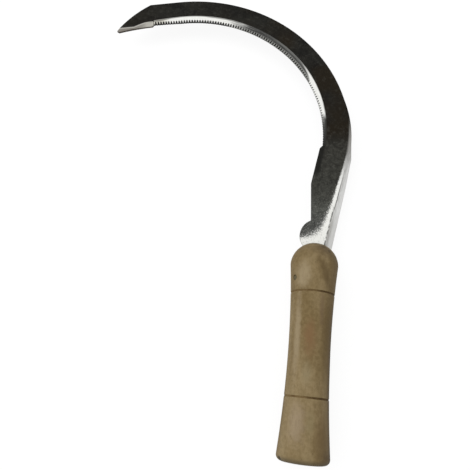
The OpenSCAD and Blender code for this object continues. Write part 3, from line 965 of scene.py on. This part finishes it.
def blade_piece():
    """The blade: the model's own shape, with rounded rims on the sheet."""
    shape = bmesh.new()
    shape.from_mesh(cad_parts["blade"].data)
    bmesh.ops.remove_doubles(shape, verts=shape.verts[:], dist=MERGE)
    close_gap(shape)
    bmesh.ops.dissolve_limit(
        shape, angle_limit=FLAT, verts=shape.verts[:], edges=shape.edges[:]
    )
    for face in shape.faces:
        face.material_index = steel_finish_of(face)
    made = bmesh.ops.bevel(
        shape, geom=sheet_rims(shape), offset=RIM_ROUND, offset_type="OFFSET",
        affect="EDGES", segments=3, profile=0.5, material=-1, clamp_overlap=True,
    )
    for face in made["faces"]:
        face.material_index = RIM
    finish_piece("blade_steel", shape, steel_finishes, "blade")


def handle_radius(y):
    """Radius of the waisted grip between the butt's rim and the dome."""
    far = BUTT_R if y < GRIP_Y else HEAD_R
    reach = GRIP_Y - BUTT_ROUND if y < GRIP_Y else DOME_Y - GRIP_Y
    return GRIP_R + (far - GRIP_R) * ((y - GRIP_Y) / reach) ** 2


def score_dip(y):
    """Depth of the scored lines at a height: a round-bottomed line with soft lips."""
    dip = 0.0
    for score_y in SCORE_YS:
        away = abs(y - score_y) / SCORE_HALF
        if away < 1:
            dip = SCORE_DEPTH * (math.cos(math.pi * away) + 1) / 2
    return dip


def handle_profile():
    """Half outline of the handle from the butt's centre to the top of the dome."""
    rim_r = handle_radius(BUTT_ROUND)
    flat_r = rim_r - BUTT_ROUND
    outline = [Vector((flat_r * step / FLAT_STEPS, 0.0, 0.0)) for step in range(FLAT_STEPS + 1)]
    for step in range(1, RIM_STEPS + 1):
        turn = math.radians(-90 + 90 * step / RIM_STEPS)
        out = flat_r + BUTT_ROUND * math.cos(turn)
        outline.append(Vector((out, BUTT_ROUND + BUTT_ROUND * math.sin(turn), 0.0)))
    grip_len = DOME_Y - BUTT_ROUND
    heights = {BUTT_ROUND + grip_len * step / GRIP_STEPS for step in range(1, GRIP_STEPS + 1)}
    for score_y in SCORE_YS:
        heights = {y for y in heights if abs(y - score_y) > SCORE_CLEAR}
        across = range(-SCORE_STEPS, SCORE_STEPS + 1)
        heights |= {score_y + SCORE_HALF * step / SCORE_STEPS for step in across}
    outline += [Vector((handle_radius(y) - score_dip(y), y, 0.0)) for y in sorted(heights)]
    for step in range(1, DOME_STEPS + 1):
        turn = math.radians(90 * step / DOME_STEPS)
        outline.append(Vector((HEAD_R * math.cos(turn), DOME_Y + HEAD_R * math.sin(turn), 0.0)))
    return outline


def spun(outline, steps, axis):
    """A closed turned body from its half outline."""
    body = bmesh.new()
    verts = [body.verts.new(point) for point in outline]
    edges = [body.edges.new(pair_of) for pair_of in zip(verts, verts[1:])]
    bmesh.ops.spin(
        body, geom=verts + edges, axis=axis, cent=(0, 0, 0), angle=2 * math.pi,
        steps=steps, use_merge=True, use_duplicate=False,
    )
    bmesh.ops.remove_doubles(body, verts=body.verts[:], dist=MERGE)
    bmesh.ops.recalc_face_normals(body, faces=body.faces[:])
    return body


def loose_object(name, shape):
    """An object of its own from a bmesh: the floor, or a cutter until it has cut."""
    mesh = bpy.data.meshes.new(name)
    shape.to_mesh(mesh)
    shape.free()
    made = bpy.data.objects.new(name, mesh)
    bpy.context.scene.collection.objects.link(made)
    return made


def flat_cutter(name, outline, thickness):
    """A flat solid that cuts a slot, centred on the plane of the blade."""
    shape = bmesh.new()
    verts = [shape.verts.new((x, y, -thickness / 2)) for x, y in outline]
    face = shape.faces.new(verts)
    moved = bmesh.ops.extrude_face_region(shape, geom=[face])["geom"]
    tops = [item for item in moved if isinstance(item, bmesh.types.BMVert)]
    bmesh.ops.translate(shape, verts=tops, vec=(0, 0, thickness))
    bmesh.ops.recalc_face_normals(shape, faces=shape.faces[:])
    return loose_object(name, shape)


def cut(piece, cutters):
    """Cuts the solids out of a piece and removes them."""
    for cutter in cutters:
        step = piece.modifiers.new(cutter.name, "BOOLEAN")
        step.object = cutter
        step.operation = "DIFFERENCE"
        step.solver = "EXACT"
    ready = piece.evaluated_get(bpy.context.evaluated_depsgraph_get())
    mesh = bpy.data.meshes.new_from_object(ready)
    piece.modifiers.clear()
    piece.data = mesh
    for cutter in cutters:
        bpy.data.objects.remove(cutter)


def nail_matrix():
    """From the nail's own axis, z out of the wood, to its place in the handle."""
    return Matrix.Translation((0, NAIL_Y, 0)) @ Matrix.Rotation(-NAIL_TURN, 4, "Y")


def worn(point):
    """A point of the handle's surface after years of use: slight waves and a chip."""
    wave = (noise.noise(point * WAVES_PER_METRE) + 0.7) * WAVE_DEPTH
    chip = max(0.0, 1 - (point - CHIP_AT).length / CHIP_REACH) * CHIP_DEPTH
    outward = Vector((point.x, 0, point.z)).normalized()
    inward = Vector((-point.x, 2 * MM, -point.z)).normalized()
    return point - outward * wave + inward * chip


def tang_slot_outline():
    """Outline of the slot for the tang, left open above the wood."""
    half, end_half = TANG_W / 2 + SLOT_GAP, TANG_END_W / 2 + SLOT_GAP
    low, end = HANDLE_LEN - TANG_STRAIGHT, HANDLE_LEN - TANG_LEN - SLOT_GAP
    corner, top = end + TANG_END_W / 2, HANDLE_LEN + SLOT_OPEN
    return [
        (-half, low), (-end_half, corner), (-end_half / 2, end), (end_half / 2, end),
        (end_half, corner), (half, low), (half, top), (-half, top),
    ]


def shoulder_slot_outline():
    """Outline of the slot for the round shoulder, cut off at the crease."""
    side = TANG_W / 2 + SLOT_GAP - TOUCH
    outline = []
    for step in range(SHOULDER_STEPS + 1):
        turn = math.radians(-90 - 180 * step / SHOULDER_STEPS)
        out = Vector((math.cos(turn), math.sin(turn))) * (SHOULDER_R + SLOT_GAP)
        outline.append((SHOULDER_X + out.x, HANDLE_LEN + SHOULDER_H + out.y))
    return outline + [(side, HANDLE_LEN + SHOULDER_R), (side, HANDLE_LEN - SHOULDER_R / 2)]


def nail_seat():
    """The hole for the nail's head."""
    radius = NAIL_HEAD_R + NAIL_GAP
    hole = bmesh.new()
    bmesh.ops.create_cone(
        hole, cap_ends=True, segments=NAIL_STEPS,
        radius1=radius, radius2=radius, depth=SEAT_CUT,
    )
    low = handle_radius(NAIL_Y) - NAIL_SUNK - NAIL_HEAD_T - NAIL_GAP
    move = nail_matrix() @ Matrix.Translation((0, 0, low + SEAT_CUT / 2))
    bmesh.ops.transform(hole, matrix=move, verts=hole.verts[:])
    return loose_object("nail_seat", hole)


def handle_piece():
    """The turned handle, worn, with the slot for the blade and the seat for the nail."""
    body = spun(handle_profile(), TURN_STEPS, (0, 1, 0))
    for face in body.faces:
        in_score = score_dip(face.calc_center_median().y) > 0.25 * SCORE_DEPTH
        face.material_index = SCORED if in_score else OILED
        face.smooth = True
    for vert in body.verts:
        if math.hypot(vert.co.x, vert.co.z) > UNWORN_R and vert.co.y < DOME_Y:
            vert.co = worn(vert.co)
    piece = finish_piece("handle_wood", body, wood_finishes, "handle")
    slot_t = SHEET_T + 2 * SLOT_GAP
    cut(piece, [
        flat_cutter("tang_slot", tang_slot_outline(), slot_t),
        flat_cutter("shoulder_slot", shoulder_slot_outline(), slot_t),
        nail_seat(),
    ])


def nail_piece():
    """The nail: a domed head, a round shank and a point."""
    seat = handle_radius(NAIL_Y) - NAIL_SUNK - NAIL_HEAD_T
    crown = seat + NAIL_HEAD_T + NAIL_CROWN
    outline = [Vector((0.0, 0.0, crown))]
    for share, drop in ((0.4, 0.02), (0.7, 0.1), (0.9, 0.25), (1.0, 0.5), (1.0, 1.0)):
        outline.append(Vector((NAIL_HEAD_R * share, 0.0, crown - drop * NAIL_HEAD_T)))
    outline.append(Vector((NAIL_R, 0.0, seat)))
    outline.append(Vector((NAIL_R, 0.0, seat - NAIL_LEN + NAIL_POINT)))
    outline.append(Vector((NAIL_R / 4, 0.0, seat - NAIL_LEN + NAIL_GAP)))
    outline.append(Vector((0.0, 0.0, seat - NAIL_LEN + NAIL_GAP / 2)))
    body = spun(outline, NAIL_STEPS, (0, 0, 1))
    bmesh.ops.transform(body, matrix=nail_matrix(), verts=body.verts[:])
    for face in body.faces:
        face.smooth = True
    finish_piece("lock_nail_iron", body, [iron_finish], "lock_nail")


blade_piece()
handle_piece()
nail_piece()


# Stage


def floor_finish():
    """White floor: it lights the object like white paper and keeps its shadow."""
    made = bpy.data.materials.new("white_floor")
    made.use_nodes = True
    tree = made.node_tree
    shader = tree.nodes["Principled BSDF"]
    shader.inputs["Roughness"].default_value = 1.0
    shader.inputs["Specular IOR Level"].default_value = 0.0
    seen = add(tree, "ShaderNodeLightPath").outputs["Is Camera Ray"]
    put(shader.inputs["Base Color"], blend(tree, seen, FLOOR_TONE, SEEN_FLOOR_TONE))
    glow = add(tree, "ShaderNodeEmission", {"Strength": calc(tree, "MULTIPLY", seen, FLOOR_GLOW)})
    both = add(tree, "ShaderNodeAddShader", {0: shader.outputs[0], 1: glow.outputs[0]})
    put(tree.nodes["Material Output"].inputs["Surface"], both.outputs[0])
    return made


def floor():
    """A plain floor under the handle."""
    shape = bmesh.new()
    bmesh.ops.create_grid(shape, x_segments=1, y_segments=1, size=FLOOR_HALF)
    bmesh.ops.translate(shape, verts=shape.verts[:], vec=(0, 0, cad_box[0].z - FLOOR_GAP))
    made = loose_object("floor", shape)
    made.data.materials.append(floor_finish())


def white_room():
    """Even white surroundings, at full strength only where they are seen or mirrored."""
    world = bpy.data.worlds.new("white_room")
    bpy.context.scene.world = world
    world.use_nodes = True
    tree = world.node_tree
    back = tree.nodes["Background"]
    back.inputs["Color"].default_value = (1, 1, 1, 1)
    path = add(tree, "ShaderNodeLightPath").outputs
    seen = calc(tree, "MAXIMUM", path["Is Camera Ray"], path["Is Glossy Ray"])
    seen = calc(tree, "MAXIMUM", seen, path["Is Transmission Ray"])
    put(back.inputs["Strength"], spread(tree, seen, 0.0, 1.0, ROOM_LIGHT, 1.0))


def soft_lamp(name, at, size, power):
    """A large soft lamp that looks at the middle of the object and isn't mirrored in the
    metal, so that the steel renders about as its colours are written."""
    data = bpy.data.lights.new(name, "AREA")
    data.size = size
    data.energy = power
    lamp = bpy.data.objects.new(name, data)
    bpy.context.scene.collection.objects.link(lamp)
    lamp.location = at
    lamp.visible_glossy = False
    middle = (cad_box[0] + cad_box[1]) / 2
    lamp.rotation_euler = (middle - Vector(at)).to_track_quat("-Z", "Y").to_euler()


def camera():
    """The view of the photograph: from above, looking up the tool."""
    data = bpy.data.cameras.new("camera")
    data.lens = LENS
    data.sensor_width = SENSOR
    data.clip_start = 0.01
    data.shift_x = -HALF_PIXEL
    data.shift_y = HALF_PIXEL
    made = bpy.data.objects.new("camera", data)
    made.location = CAMERA_AT
    made.rotation_euler = (VIEW_TILT, 0, VIEW_TURN)
    bpy.context.scene.collection.objects.link(made)
    bpy.context.scene.camera = made


floor()
white_room()
soft_lamp("window", LAMP_AT, LAMP_SIZE, LAMP_POWER)
camera()
bpy.context.scene.view_settings.view_transform = "Standard"
